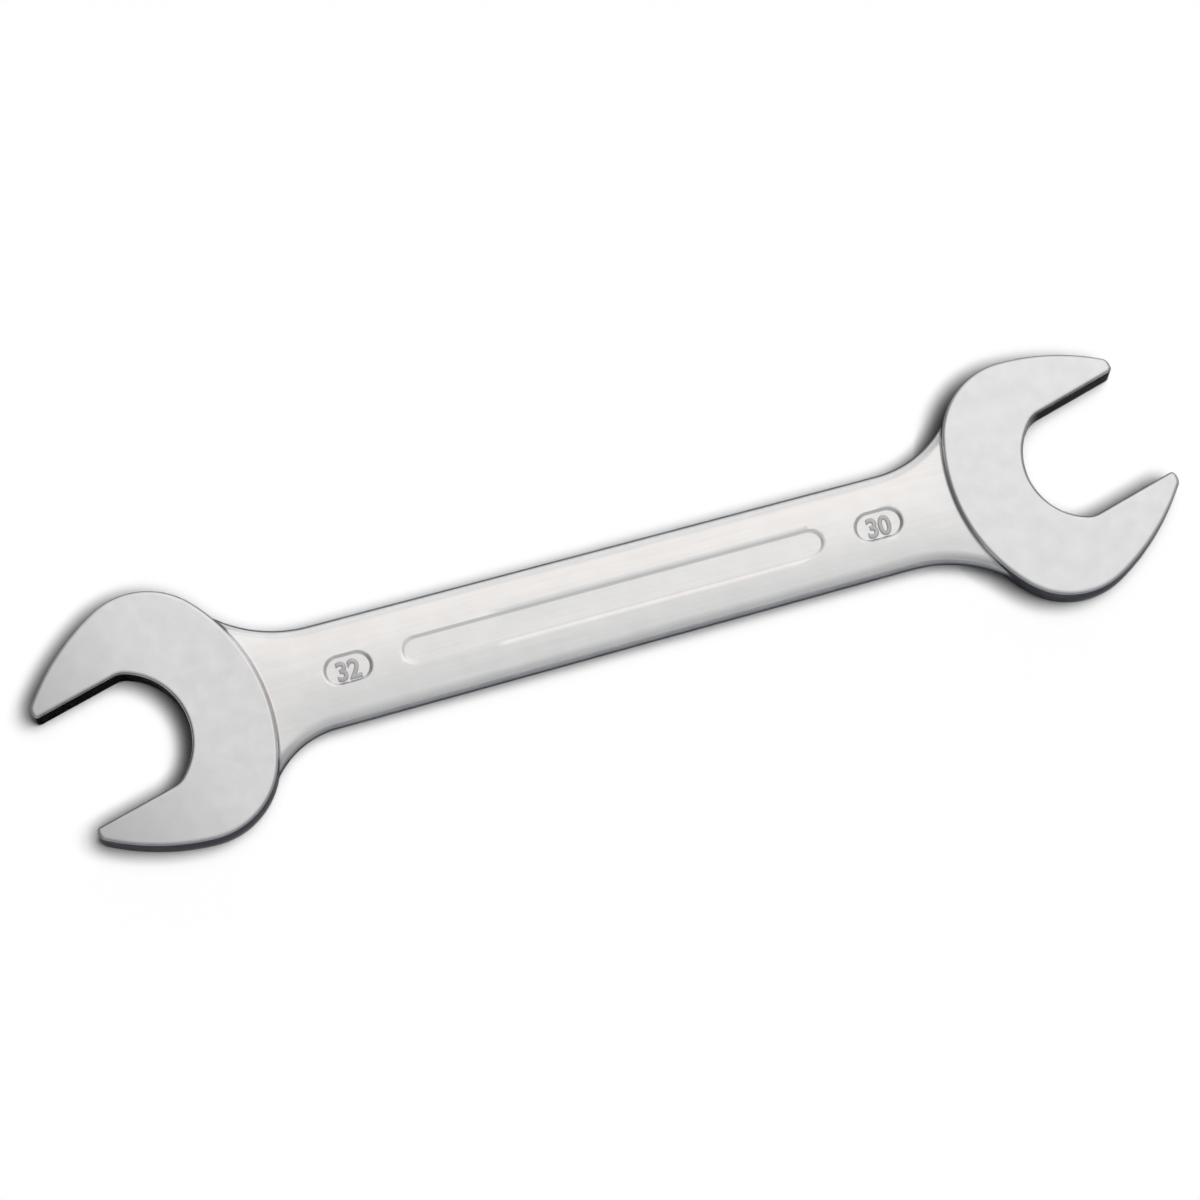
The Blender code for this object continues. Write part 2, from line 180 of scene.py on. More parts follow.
def edge_section():
    """A head's edge from its upper face to its lower one, as depths into the steel and heights."""
    half = HEAD_THICKNESS / 2
    section = []
    for step in range(HEAD_EDGE_STEPS + 1):
        turn = math.pi / 2 * (1 - step / HEAD_EDGE_STEPS)
        section.append((HEAD_EDGE * (1 - math.cos(turn)), half - HEAD_EDGE * (1 - math.sin(turn))))
    for step in range(1, WALL_STEPS):
        section.append((0, (half - HEAD_EDGE) * (1 - step / WALL_STEPS)))
    return section + [(0, 0)] + [(inset, -height) for inset, height in reversed(section)]


def select_only(piece):
    bpy.ops.object.select_all(action="DESELECT")
    piece.select_set(True)
    bpy.context.view_layer.objects.active = piece


def apply_modifiers(piece):
    select_only(piece)
    for modifier in list(piece.modifiers):
        bpy.ops.object.modifier_apply(modifier=modifier.name)


def forged_head(name, head, turn, crossing):
    """One head, with the jaw's axis turned from +X and its crossing point on the shank's middle line."""
    shape = HeadShape(head)
    section = edge_section()
    mesh = bpy.data.meshes.new(name)
    start = [(-shape.throat_radius - inset, 0, height) for inset, height in section]
    mesh.from_pydata(start, [(place, place + 1) for place in range(len(start) - 1)], [])
    piece = bpy.data.objects.new(name, mesh)
    bpy.context.collection.objects.link(piece)
    select_only(piece)
    bpy.ops.object.mode_set(mode="EDIT")
    bpy.ops.mesh.select_all(action="SELECT")
    for part in shape.ground + shape.forged[::-1]:
        if isinstance(part, Run):
            along = part.end - part.start
            bpy.ops.mesh.extrude_region_move(TRANSFORM_OT_translate={"value": (along.x, along.y, 0)})
            continue
        # The forged arcs are swept from the tip back, and spin turns clockwise for angles above zero.
        swept = part.start - part.end if part in shape.ground else part.end - part.start
        bpy.ops.mesh.spin(steps=part.steps, angle=swept, center=(*part.centre, 0), axis=(0, 0, 1))
    bpy.ops.object.mode_set(mode="OBJECT")
    for vertex in mesh.vertices:
        fade = min((shape.tip - vertex.co.x) / (shape.tip - shape.front_start), 1)
        travel, distance = shape.nearest_edge(vertex.co.xy)
        if distance > -2 * HEAD_EDGE and fade > 0:
            outward = shape.edge_point(travel, 1) - shape.edge_point(travel, 0)
            draft = FORGING_DRAFT * fade * (1 - 2 * abs(vertex.co.z) / HEAD_THICKNESS)
            vertex.co.xy += outward * draft
    mirror = piece.modifiers.new("other_prong", "MIRROR")
    mirror.use_axis = (False, True, False)
    mirror.merge_threshold = WELD
    apply_modifiers(piece)
    bpy.ops.object.mode_set(mode="EDIT")
    bpy.ops.mesh.select_all(action="SELECT")
    bpy.ops.mesh.remove_doubles(threshold=WELD)
    bpy.ops.mesh.fill_holes(sides=0)
    bpy.ops.mesh.select_all(action="SELECT")
    bpy.ops.mesh.normals_make_consistent(inside=False)
    bpy.ops.object.mode_set(mode="OBJECT")
    piece.rotation_euler.z = turn
    piece.location = (crossing + math.cos(turn) * head.nut_reach, math.sin(turn) * head.nut_reach, 0)
    bpy.ops.object.transform_apply(location=True, rotation=True, scale=True)
    return piece


heads = [forged_head(*placed) for placed in PLACED_HEADS]

# Shank: the same forging drawn out between the heads, crowned on both faces and chamfered along
# its edges, with flares that run out along the heads. Its rows follow a head's edge and then turn
# square to the shank, which no operator does, so they are placed in code and skinned.
SHANK_WIDTH_32 = 28.1 * MM
SHANK_WIDTH_30 = 25.5 * MM
SHANK_THICKNESS = 9.0 * MM
SHANK_CROWN = 0.9 * MM
SIDE_HEIGHT = 4.4 * MM
SIDE_DRAFT = 0.35 * MM
CHAMFER_WIDTH = 2.2 * MM
SIDE_CREASE = 1.0 * MM
FACE_CREASE = 1.1 * MM
CREASE_STEPS = 6
OPEN_FLARE_RADIUS = 36.0 * MM
TUCKED_FLARE_RADIUS_32 = 23.0 * MM
TUCKED_FLARE_RADIUS_30 = 27.0 * MM
STEP_FILLET = 0.8 * MM
ROOT_DEPTH = 3.0 * MM
# How far into the head the fillet starts, and further rows that follow the head's edge.
FILLET_LEAD_SHARE = 0.12
FOLLOWING_ROW_SHARES = (0.06, 0.12, 0.18, 0.24, 0.3, 0.35)

INNER_COLUMNS = 17
FILLET_ROWS = 8
BLEND_ROWS = 30
STRAIGHT_ROWS = 24
SEARCH_ROUNDS = 60
EDGE_INSETS = (0, SIDE_DRAFT, CHAMFER_WIDTH)

Flare = namedtuple("Flare", "side centre radius line_x touch_travel half_width slope")


def solve(function, low, high):
    """Place between low, where the function is below zero, and high, where it is above."""
    for _ in range(SEARCH_ROUNDS):
        middle = (low + high) / 2
        if function(middle) < 0:
            low = middle
        else:
            high = middle
    return (low + high) / 2


class ShankEnd:
    """One end of the shank, seen with its head's crossing point as origin and the shank along +x."""

    def __init__(self, head, width_here, width_there, tucked_radius):
        self.shape = HeadShape(head)
        turn = math.pi + head.angle
        self.out = Vector((math.cos(turn), math.sin(turn)))
        self.across = Vector((-self.out.y, self.out.x))
        self.nut = self.out * head.nut_reach
        slope = (width_there - width_here) / 2 / HEAD_SPACING
        self.open_flare = self.flare(1, OPEN_FLARE_RADIUS, width_here / 2, slope)
        self.tucked_flare = self.flare(-1, tucked_radius, width_here / 2, slope)

    def to_plan(self, point):
        return self.nut + self.out * point.x + self.across * point.y

    def to_head(self, point):
        offset = point - self.nut
        return Vector((offset.dot(self.out), offset.dot(self.across)))

    def flare(self, side, radius, half_width, slope):
        """The arc that leaves a straight edge of the shank and ends along the head's outer edge."""
        normal = Vector((-slope, side)).normalized()

        def centre_at(x):
            return Vector((x, side * (half_width + slope * x))) + normal * radius

        def clearance(x):
            return self.shape.nearest_edge(self.to_head(centre_at(x)))[1] - radius

        line_x = solve(clearance, 0, HEAD_SPACING / 2)
        centre = centre_at(line_x)
        touch_travel = self.shape.nearest_edge(self.to_head(centre))[0]
        return Flare(side, centre, radius, line_x, touch_travel, half_width, slope)

    def edge_y(self, flare, x, inset):
        """Height in plan of a shank edge at x, moved in by inset."""
        radius = flare.radius + inset
        if x >= flare.line_x:
            return flare.side * (flare.half_width + flare.slope * x - inset)
        return flare.centre.y - flare.side * math.sqrt(radius ** 2 - (x - flare.centre.x) ** 2)

    def travel_at(self, flare, offset, inset):
        """Where the head's edge, moved out by offset, meets the flare moved in by inset."""
        middle = (self.open_flare.touch_travel + self.tucked_flare.touch_travel) / 2
        if -offset - inset >= 0:
            return flare.touch_travel

        def beyond(share):
            travel = flare.touch_travel + (middle - flare.touch_travel) * share
            point = self.to_plan(self.shape.edge_point(travel, offset))
            return (point - flare.centre).length - flare.radius - inset

        return flare.touch_travel + (middle - flare.touch_travel) * solve(beyond, 0, 1)

    def following_row(self, offset):
        """Plan points of a row that follows the head's edge at an offset, from one flare to the other."""
        travels = [self.travel_at(self.open_flare, offset, inset) for inset in EDGE_INSETS]
        end_travels = [self.travel_at(self.tucked_flare, offset, inset) for inset in reversed(EDGE_INSETS)]
        first, last = travels[-1], end_travels[0]
        for column in range(1, INNER_COLUMNS + 1):
            travels.append(first + (last - first) * column / (INNER_COLUMNS + 1))
        travels += end_travels
        return [self.to_plan(self.shape.edge_point(travel, offset)) for travel in travels]

    def blended_row(self, start_row, straight_x, share):
        """Plan points between a row that follows the head and one square to the shank, share of the way."""
        row, end = [], []
        for place, inset in enumerate(EDGE_INSETS):
            near_x, far_x = start_row[place].x, start_row[-1 - place].x
            open_x = near_x + (straight_x - near_x) * share
            tucked_x = far_x + (straight_x - far_x) * share
            row.append(Vector((open_x, self.edge_y(self.open_flare, open_x, inset))))
            end.append(Vector((tucked_x, self.edge_y(self.tucked_flare, tucked_x, inset))))
        first, last = row[-1], end[-1]
        edge = len(EDGE_INSETS)
        inner_start, inner_end = start_row[edge - 1], start_row[-edge]
        fade = (1 - share) ** 2
        for column in range(1, INNER_COLUMNS + 1):
            across = column / (INNER_COLUMNS + 1)
            bow = start_row[edge - 1 + column] - inner_start.lerp(inner_end, across)
            row.append(first.lerp(last, across) + bow * fade)
        return row + end[::-1]

    def rows(self):
        """Rows from inside the head to the straight shank, each with its offset from the head's edge."""
        rows = []
        first = self.following_row(-STEP_FILLET * FILLET_LEAD_SHARE)
        root = [self.to_plan(self.shape.edge_point(flare.touch_travel, -ROOT_DEPTH))
                for flare in (self.open_flare, self.tucked_flare)]
        width = (first[-1] - first[0]).length
        shares = [(point - first[0]).length / width for point in first]
        rows.append(([root[0].lerp(root[1], share) for share in shares], 0))
        rows.append((first, 0))
        for step in range(1, FILLET_ROWS + 1):
            offset = STEP_FILLET * (1 - math.cos(math.pi / 2 * step / FILLET_ROWS))
            rows.append((self.following_row(offset), offset))
        for share in FOLLOWING_ROW_SHARES:
            rows.append((self.following_row(STEP_FILLET + HEAD_THICKNESS * share), STEP_FILLET))
        start_row = rows[-1][0]
        straight_x = max(self.open_flare.line_x, self.tucked_flare.line_x) + CHAMFER_WIDTH
        for step in range(1, BLEND_ROWS + 1):
            rows.append((self.blended_row(start_row, straight_x, step / BLEND_ROWS), STEP_FILLET))
        return rows


def eased(before, corner, after, reach):
    """Points round a crease of the section, in place of its sharp corner."""
    start = corner + (before - corner).normalized() * reach
    end = corner + (after - corner).normalized() * reach
    points = []
    for step in range(CREASE_STEPS + 1):
        share = step / CREASE_STEPS
        points.append(start.lerp(corner, share).lerp(corner.lerp(end, share), share))
    return points


def section_loop(row, offset):
    """Closed loop of the shank's section over a row of plan points."""
    rise = STEP_FILLET - math.sqrt(STEP_FILLET ** 2 - (STEP_FILLET - offset) ** 2)
    width = (row[-1] - row[0]).length
    top = []
    for place, point in enumerate(row):
        from_edge = min(place, len(row) - 1 - place)
        across = (point - row[0]).length / width
        if from_edge == 0:
            height = 0
        elif from_edge == 1:
            height = SIDE_HEIGHT / 2 + rise
        else:
            height = SHANK_THICKNESS / 2 - SHANK_CROWN * (2 * across - 1) ** 2 + rise
        top.append(Vector((point.x, point.y, height)))
    creases = {1: SIDE_CREASE, 2: FACE_CREASE, len(row) - 3: FACE_CREASE, len(row) - 2: SIDE_CREASE}
    smooth = []
    for place, point in enumerate(top):
        if place in creases:
            smooth += eased(top[place - 1], point, top[place + 1], creases[place])
        else:
            smooth.append(point)
    underside = [Vector((point.x, point.y, -point.z)) for point in smooth[-2:0:-1]]
    return smooth + underside


def forged_shank():
    end_32 = ShankEnd(HEAD_32, SHANK_WIDTH_32, SHANK_WIDTH_30, TUCKED_FLARE_RADIUS_32)
    end_30 = ShankEnd(HEAD_30, SHANK_WIDTH_30, SHANK_WIDTH_32, TUCKED_FLARE_RADIUS_30)
    half = Vector((HEAD_SPACING / 2, 0))
    left = [([point - half for point in row], offset) for row, offset in end_32.rows()]
    right = [([half - point for point in reversed(row)], offset) for row, offset in end_30.rows()]
    near, far = left[-1][0], right[-1][0]
    middle = []
    for step in range(1, STRAIGHT_ROWS):
        share = step / STRAIGHT_ROWS
        middle.append(([a.lerp(b, share) for a, b in zip(near, far)], STEP_FILLET))
    bm = bmesh.new()
    rings = [[bm.verts.new(point) for point in section_loop(row, offset)]
             for row, offset in left + middle + right[::-1]]
    for ring, following in zip(rings, rings[1:]):
        for place in range(len(ring)):
            after = (place + 1) % len(ring)
            bm.faces.new((ring[place], ring[after], following[after], following[place]))
    bm.faces.new(rings[0])
    bm.faces.new(rings[-1])
    bmesh.ops.recalc_face_normals(bm, faces=bm.faces)
    mesh = bpy.data.meshes.new("wrench_forging")
    bm.to_mesh(mesh)
    bm.free()
    piece = bpy.data.objects.new("wrench_forging", mesh)
    bpy.context.collection.objects.link(piece)
    return piece


forging = forged_shank()

# Panel and size ovals: shallow recesses that the die leaves on both faces of the shank, with
# sloping walls and softened rims. Each is sunk with a tool of the recess's shape, flared at the top.
PANEL_LENGTH = 110.8 * MM
PANEL_WIDTH = 6.8 * MM
PANEL_PLACE = 1.3 * MM
PANEL_DEPTH = 0.45 * MM
OVAL_LENGTH = 12.0 * MM
OVAL_WIDTH = 7.4 * MM
OVAL_DEPTH = 0.75 * MM
OVAL_GAP_32 = 8.6 * MM
OVAL_GAP_30 = 8.9 * MM
RECESS_POINTS = 96
# Each tool's wall from its floor up: how far outside the recess's outline, and how high.
PANEL_WALL = ((-0.6 * MM, 0), (-0.42 * MM, 0.03 * MM), (-0.22 * MM, 0.12 * MM), (0.2 * MM, 0.32 * MM),
              (0.42 * MM, 0.39 * MM), (0.75 * MM, 0.43 * MM), (1.1 * MM, 0.55 * MM))
OVAL_WALL = ((-0.5 * MM, 0), (-0.38 * MM, 0.04 * MM), (-0.24 * MM, 0.15 * MM), (0.2 * MM, 0.56 * MM),
             (0.34 * MM, 0.66 * MM), (0.6 * MM, 0.72 * MM), (1.0 * MM, 0.82 * MM))
OVAL_32_PLACE = PANEL_PLACE - PANEL_LENGTH / 2 - OVAL_GAP_32 - OVAL_LENGTH / 2
OVAL_30_PLACE = PANEL_PLACE + PANEL_LENGTH / 2 + OVAL_GAP_30 + OVAL_LENGTH / 2


def recess_tool(name, length, width, wall, depth, place):
    """Tool for a recess in the upper face: a disc whose halves are pulled apart, with a flared wall."""
    bpy.ops.object.select_all(action="DESELECT")
    bpy.ops.mesh.primitive_circle_add(vertices=RECESS_POINTS, radius=width / 2, fill_type="NGON")
    tool = bpy.context.object
    tool.name = name
    for vertex in tool.data.vertices:
        vertex.co.x += math.copysign((length - width) / 2, vertex.co.x)
    bpy.ops.object.mode_set(mode="EDIT")
    bpy.ops.mesh.select_all(action="SELECT")
    outside, height = 0, 0
    for next_outside, next_height in wall:
        if next_height > height:
            bpy.ops.mesh.extrude_region_move(TRANSFORM_OT_translate={"value": (0, 0, next_height - height)})
        wider = (length + 2 * next_outside) / (length + 2 * outside)
        broader = (width + 2 * next_outside) / (width + 2 * outside)
        bpy.ops.transform.resize(value=(wider, broader, 1), center_override=(0, 0, height))
        outside, height = next_outside, next_height
    bpy.ops.mesh.select_all(action="SELECT")
    bpy.ops.mesh.normals_make_consistent(inside=False)
    bpy.ops.object.mode_set(mode="OBJECT")
    tool.location = (place, 0, SHANK_THICKNESS / 2 - depth)
    bpy.ops.object.transform_apply(location=True, rotation=False, scale=False)
    return tool


def turned_under(tool):
    """A copy of a tool for the under face."""
    select_only(tool)
    bpy.ops.object.duplicate()
    copy = bpy.context.object
    copy.rotation_euler.x = math.pi
    bpy.ops.object.transform_apply(location=False, rotation=True, scale=False)
    return copy


tools = [
    recess_tool("panel_tool", PANEL_LENGTH, PANEL_WIDTH, PANEL_WALL, PANEL_DEPTH, PANEL_PLACE),
    recess_tool("oval_32_tool", OVAL_LENGTH, OVAL_WIDTH, OVAL_WALL, OVAL_DEPTH, OVAL_32_PLACE),
    recess_tool("oval_30_tool", OVAL_LENGTH, OVAL_WIDTH, OVAL_WALL, OVAL_DEPTH, OVAL_30_PLACE),
]
tools += [turned_under(tool) for tool in tools]

for solid, operation in [(head, "UNION") for head in heads] + [(tool, "DIFFERENCE") for tool in tools]:
    joined = forging.modifiers.new(solid.name, "BOOLEAN")
    joined.operation = operation
    joined.object = solid
    joined.solver = "EXACT"
apply_modifiers(forging)
for solid in heads + tools:
    bpy.data.objects.remove(solid)

# The forging lies on the undersides of its heads, in the middle of the frame's box.
low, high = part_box("wrench_body")
corners = [forging.matrix_world @ Vector(corner) for corner in forging.bound_box]
middle_x = (min(corner.x for corner in corners) + max(corner.x for corner in corners)) / 2
middle_y = (min(corner.y for corner in corners) + max(corner.y for corner in corners)) / 2
settled = Vector(((low[0] + high[0]) / 2 - middle_x, (low[1] + high[1]) / 2 - middle_y, HEAD_THICKNESS / 2))
forging.location = settled
select_only(forging)
bpy.ops.object.transform_apply(location=True, rotation=False, scale=False)
SMOOTH_ANGLE = math.radians(25)
bpy.ops.object.shade_smooth_by_angle(angle=SMOOTH_ANGLE)
weighted = forging.modifiers.new("flat_faces_stay_flat", "WEIGHTED_NORMAL")
weighted.keep_sharp = True
apply_modifiers(forging)
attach(forging, "root")
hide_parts("wrench_body")

# Plating: nickel and a thin coat of satin chrome, laid on all over. Before it the shank was blasted,
# and the faces of the heads and the walls of the jaws were ground. The walls and edges are given
# painted shade, a darker tone that stands in for the dim room they mirror.
SHANK_TONES = ("#D8D8D8", "#E1E1E1")
GROUND_TONES = ("#D2D3D4", "#D9DADB")
FALLOFF_SHADE_TONE = "#B4B5B6"
# Painted shade: the darker tones of the walls, edges and steps.
WALL_SHADE_TONES = ("#818286", "#8E8F92")
# Painted shade: the jaws' ground walls are given a dark tone that turns nearly black along them.
JAW_SHADE_TONES = ("#8E8E91", "#A2A2A4")
# What each finish keeps of the light that glances along it. The values for the walls and the jaws
# are painted shade.
FACE_GLANCE = "#FFFFFF"
WALL_SHADE_GLANCE = "#6E6E71"
JAW_SHADE_GLANCE = "#0C0C10"
FACE_ROUGHNESS = 0.32
WALL_ROUGHNESS = 0.25
JAW_ROUGHNESS = 0.16
# The real streaks and grain are under 0.1 mm wide. They are drawn coarser, so that they show.
CLOUD_SIZE = 6.0 * MM
SPECK_SIZE = 4.5 * MM
STREAK_LENGTH = 25.0 * MM
STREAK_WIDTH = 0.7 * MM
WAVE_SIZE = 3.5 * MM
WAVE_DEPTH = 0.012 * MM
GRAIN_SIZE = 0.6 * MM
GRAIN_DEPTH = 0.003 * MM
STREAK_SHARE = 0.5
# Noise keeps mostly between these levels.
NOISE_LOW = 0.3
NOISE_HIGH = 0.7
# Painted shade where the light falls off: the larger head's face darkens along an axis turned from
# +X, from here to its tips.
FALLOFF_TURN = math.radians(18.5)
FALLOFF_STARTS = -106.0 * MM
FALLOFF_FULL = -143.0 * MM


def to_linear(hex_colour):
    """The linear colour of an sRGB hex value."""
    channels = [int(hex_colour[place:place + 2], 16) / 255 for place in (1, 3, 5)]
    return [c / 12.92 if c <= 0.04045 else ((c + 0.055) / 1.055) ** 2.4 for c in channels] + [1]


def add_node(tree, kind, settings=None, inputs=None):
    """A node with its settings, and its inputs given as values or as the outputs that feed them."""
    made = tree.nodes.new(kind)
    for name, value in (settings or {}).items():
        setattr(made, name, value)
    for name, value in (inputs or {}).items():
        if isinstance(value, bpy.types.NodeSocket):
            tree.links.new(value, made.inputs[name])
        else:
            made.inputs[name].default_value = value
    return made


# What the coat gives the eye depends on what is under it. The blasted shank is bright, with faint
# clouds, fine streaks along it and slight waves. The ground faces of the heads are a shade darker,
# and the larger head's face has painted shade towards its tips, where the light falls off. Walls,
# edges and steps have painted shade: a darker tone whose reflection dies away where it is seen along
# the wall, and the ground walls of the jaws are painted nearly black there.
def satin_chrome_plating():
    material = bpy.data.materials.new("satin_chrome_plating")
    material.use_nodes = True
    tree = material.node_tree
    shader = tree.nodes["Principled BSDF"]
    shader.inputs["Metallic"].default_value = 1
    place = add_node(tree, "ShaderNodeTexCoord").outputs["Object"]
    # Red in the attribute is painted shade on walls, edges and steps; green is the jaws' walls, painted
    # nearly black.
    finish_and_shade = add_node(tree, "ShaderNodeVertexColor", {"layer_name": "finish_and_shade"}).outputs["Color"]
    wall_shade, jaw, ground = add_node(tree, "ShaderNodeSeparateColor", inputs={"Color": finish_and_shade}).outputs
    drawn_out = add_node(tree, "ShaderNodeVectorMath", {"operation": "MULTIPLY"}, {
        0: place, 1: (1 / STREAK_LENGTH, 1 / STREAK_WIDTH, 1 / STREAK_WIDTH)}).outputs[0]
    # Each pattern with its place, the size of its marks and the number of finer layers in them.
    patterns = {}
    for name, where, size, detail in (
            ("clouds", place, CLOUD_SIZE, 4),
            ("specks", place, SPECK_SIZE, 3),
            ("streaks", drawn_out, 1, 2),
            ("waves", place, WAVE_SIZE, 1),
            ("grain", place, GRAIN_SIZE, 2)):
        noise = add_node(tree, "ShaderNodeTexNoise", inputs={
            "Vector": where, "Scale": 1 / size, "Detail": detail})
        patterns[name] = add_node(tree, "ShaderNodeMapRange", inputs={
            "Value": noise.outputs["Fac"], "From Min": NOISE_LOW, "From Max": NOISE_HIGH}).outputs["Result"]
    # Painted shade on the larger head's face, darker towards its tips where the light falls off.
    inwards = add_node(tree, "ShaderNodeVectorMath", {"operation": "DOT_PRODUCT"}, {
        0: place, 1: (math.cos(FALLOFF_TURN), math.sin(FALLOFF_TURN), 0)})
    painted_falloff = add_node(tree, "ShaderNodeMapRange", inputs={
        "Value": inwards.outputs["Value"], "From Min": FALLOFF_STARTS, "From Max": FALLOFF_FULL})
    # A mix node takes plain values at 2 and 3 and gives one at 0, and colours at 6 and 7 and at 2.
    mottle = add_node(tree, "ShaderNodeMix", {"data_type": "FLOAT"}, {
        0: STREAK_SHARE, 2: patterns["clouds"], 3: patterns["streaks"]})
    # Each tone goes from one to another, given by name or as a colour, as its share grows.
    tones = {}
    for name, share, first, second in (
            ("shank", mottle.outputs[0], *SHANK_TONES),
            ("ground", patterns["specks"], *GROUND_TONES),
            ("heads", painted_falloff.outputs["Result"], "ground", FALLOFF_SHADE_TONE),
            ("faces", ground, "shank", "heads"),
            ("wall_shade", patterns["clouds"], *WALL_SHADE_TONES),
            ("forging", wall_shade, "faces", "wall_shade"),
            ("shaded_jaws", patterns["specks"], *JAW_SHADE_TONES),
            ("plating", jaw, "forging", "shaded_jaws"),
            ("forging_glance", wall_shade, FACE_GLANCE, WALL_SHADE_GLANCE),
            ("glance", jaw, "forging_glance", JAW_SHADE_GLANCE)):
        ends = [tones[tone] if tone in tones else to_linear(tone) for tone in (first, second)]
        mix = add_node(tree, "ShaderNodeMix", {"data_type": "RGBA"}, {0: share, 6: ends[0], 7: ends[1]})
        tones[name] = mix.outputs[2]
    tree.links.new(tones["plating"], shader.inputs["Base Color"])
    tree.links.new(tones["glance"], shader.inputs["Specular Tint"])
    wall_shade_gloss = add_node(tree, "ShaderNodeMapRange", inputs={
        "Value": wall_shade, "To Min": FACE_ROUGHNESS, "To Max": WALL_ROUGHNESS})
    gloss = add_node(tree, "ShaderNodeMapRange", inputs={
        "Value": jaw, "To Min": wall_shade_gloss.outputs["Result"], "To Max": JAW_ROUGHNESS})
    tree.links.new(gloss.outputs["Result"], shader.inputs["Roughness"])
    wavy = add_node(tree, "ShaderNodeBump", inputs={"Height": patterns["waves"], "Distance": WAVE_DEPTH})
    grainy = add_node(tree, "ShaderNodeBump", inputs={
        "Height": patterns["grain"], "Distance": GRAIN_DEPTH, "Normal": wavy.outputs["Normal"]})
    tree.links.new(grainy.outputs["Normal"], shader.inputs["Normal"])
    return material


# The mesh's colour attribute of finishes and painted shade says where each lies: the painted shade
# of walls, edges and steps in red, the ground walls of the jaws, painted nearly black, in green and
# the heads' faces in blue. The painted shade and the ground walls ease in as the surface turns from
# lying flat to standing upright. A rise is the upright part of the normal, given where each begins
# and where it is full.
HEAD_WALL_SHADE_RISE = (0.9, 0.6)
SHANK_WALL_SHADE_RISE = (0.77, 0.6)
JAW_RISE = (0.95, 0.75)
JAW_RIM = 0.9 * HEAD_EDGE
# Nearer than this to the shank's middle line lie the walls of the recesses, which were blasted too
# and get no painted shade.
RECESS_REACH = 5.5 * MM
# The steps down to the shank get less of the painted shade: the least left in each, and how far
# from the shank's middle line it starts to grow and is full.
STEP_SHADE_32 = 0
STEP_SHADE_30 = 0.5
STEP_SHADE_REACH = (14.0 * MM, 19.0 * MM)


def eased_share(value, none, full):
    """Share that eases from 0, where value is none, to 1, where it is full."""
    share = min(max((value - none) / (full - none), 0), 1)
    return share * share * (3 - 2 * share)


def in_mouth(place):
    """Whether a place lies between the straight sides of a jaw, or on the rim round them."""
    for _, head, turn, crossing in PLACED_HEADS:
        out = Vector((math.cos(turn), math.sin(turn)))
        offset = (place - settled).xy - Vector((crossing, 0)) - out * head.nut_reach
        half_gap = (head.jaw + JAW_CLEARANCE) / 2
        throat = half_gap * THROAT_RADIUS_SHARE
        if abs(offset.cross(out)) < half_gap + JAW_RIM and offset.dot(out) > -throat - JAW_RIM:
            return True
    return False


finish_and_shade = forging.data.color_attributes.new("finish_and_shade", "FLOAT_COLOR", "POINT")
for vertex, mark in zip(forging.data.vertices, finish_and_shade.data):
    from_middle = abs(vertex.co.z - HEAD_THICKNESS / 2)
    rise = abs(vertex.normal.z)
    wall_shade = 0
    # Painted shade on the heads' upright walls and edges, less of it in the steps, and on the shank's edges.
    if from_middle > SHANK_THICKNESS / 2:
        wall_shade = eased_share(rise, *HEAD_WALL_SHADE_RISE)
        if vertex.normal.x * vertex.co.x < 0:
            least = STEP_SHADE_30 if vertex.co.x > 0 else STEP_SHADE_32
            wall_shade *= least + (1 - least) * eased_share(abs(vertex.co.y), *STEP_SHADE_REACH)
    elif abs(vertex.co.y) > RECESS_REACH:
        wall_shade = eased_share(rise, *SHANK_WALL_SHADE_RISE)
    # The jaws' ground walls, which get painted shade that turns them nearly black.
    jaw = eased_share(rise, *JAW_RISE) if in_mouth(vertex.co) else 0
    head = eased_share(from_middle, SHANK_THICKNESS / 2 + STEP_FILLET, HEAD_THICKNESS / 2 - HEAD_EDGE)
    mark.color = (wall_shade, jaw, head, 1)
forging.data.materials.clear()
forging.data.materials.append(satin_chrome_plating())

# Size numbers: the nut sizes in millimetres, raised from the floors of the ovals by the same die,
# with round edges, on both faces. Nothing reaches them when the faces are finished, so they keep
# the forging's own skin under the plating.
NUMBER_HEIGHT = 5.3 * MM
NUMBER_WIDTH = 6.3 * MM
NUMBER_DROP = 0.4 * MM
NUMBER_RISE = 0.4 * MM
NUMBER_SINK = 0.1 * MM
NUMBER_BEVEL = 0.2 * MM
NUMBER_BEVEL_STEPS = 3
NUMBER_TONES = ("#ABABAC", "#B7B7B8")
NUMBER_MOTTLE_SIZE = 2.0 * MM
NUMBER_ROUGHNESS = 0.38


# The coat over a matt surface gives the eye an even mid grey, which reads against the bright ovals.
def matt_chrome_plating():
    material = bpy.data.materials.new("matt_chrome_plating")
    material.use_nodes = True
    tree = material.node_tree
    shader = tree.nodes["Principled BSDF"]
    shader.inputs["Metallic"].default_value = 1
    shader.inputs["Roughness"].default_value = NUMBER_ROUGHNESS
    place = add_node(tree, "ShaderNodeTexCoord").outputs["Object"]
    mottle = add_node(tree, "ShaderNodeTexNoise", inputs={
        "Vector": place, "Scale": 1 / NUMBER_MOTTLE_SIZE, "Detail": 3})
    share = add_node(tree, "ShaderNodeMapRange", inputs={
        "Value": mottle.outputs["Fac"], "From Min": NOISE_LOW, "From Max": NOISE_HIGH})
    dark, light = [to_linear(tone) for tone in NUMBER_TONES]
    grey = add_node(tree, "ShaderNodeMix", {"data_type": "RGBA"}, {
        0: share.outputs["Result"], 6: dark, 7: light})
    tree.links.new(grey.outputs[2], shader.inputs["Base Color"])
    return material


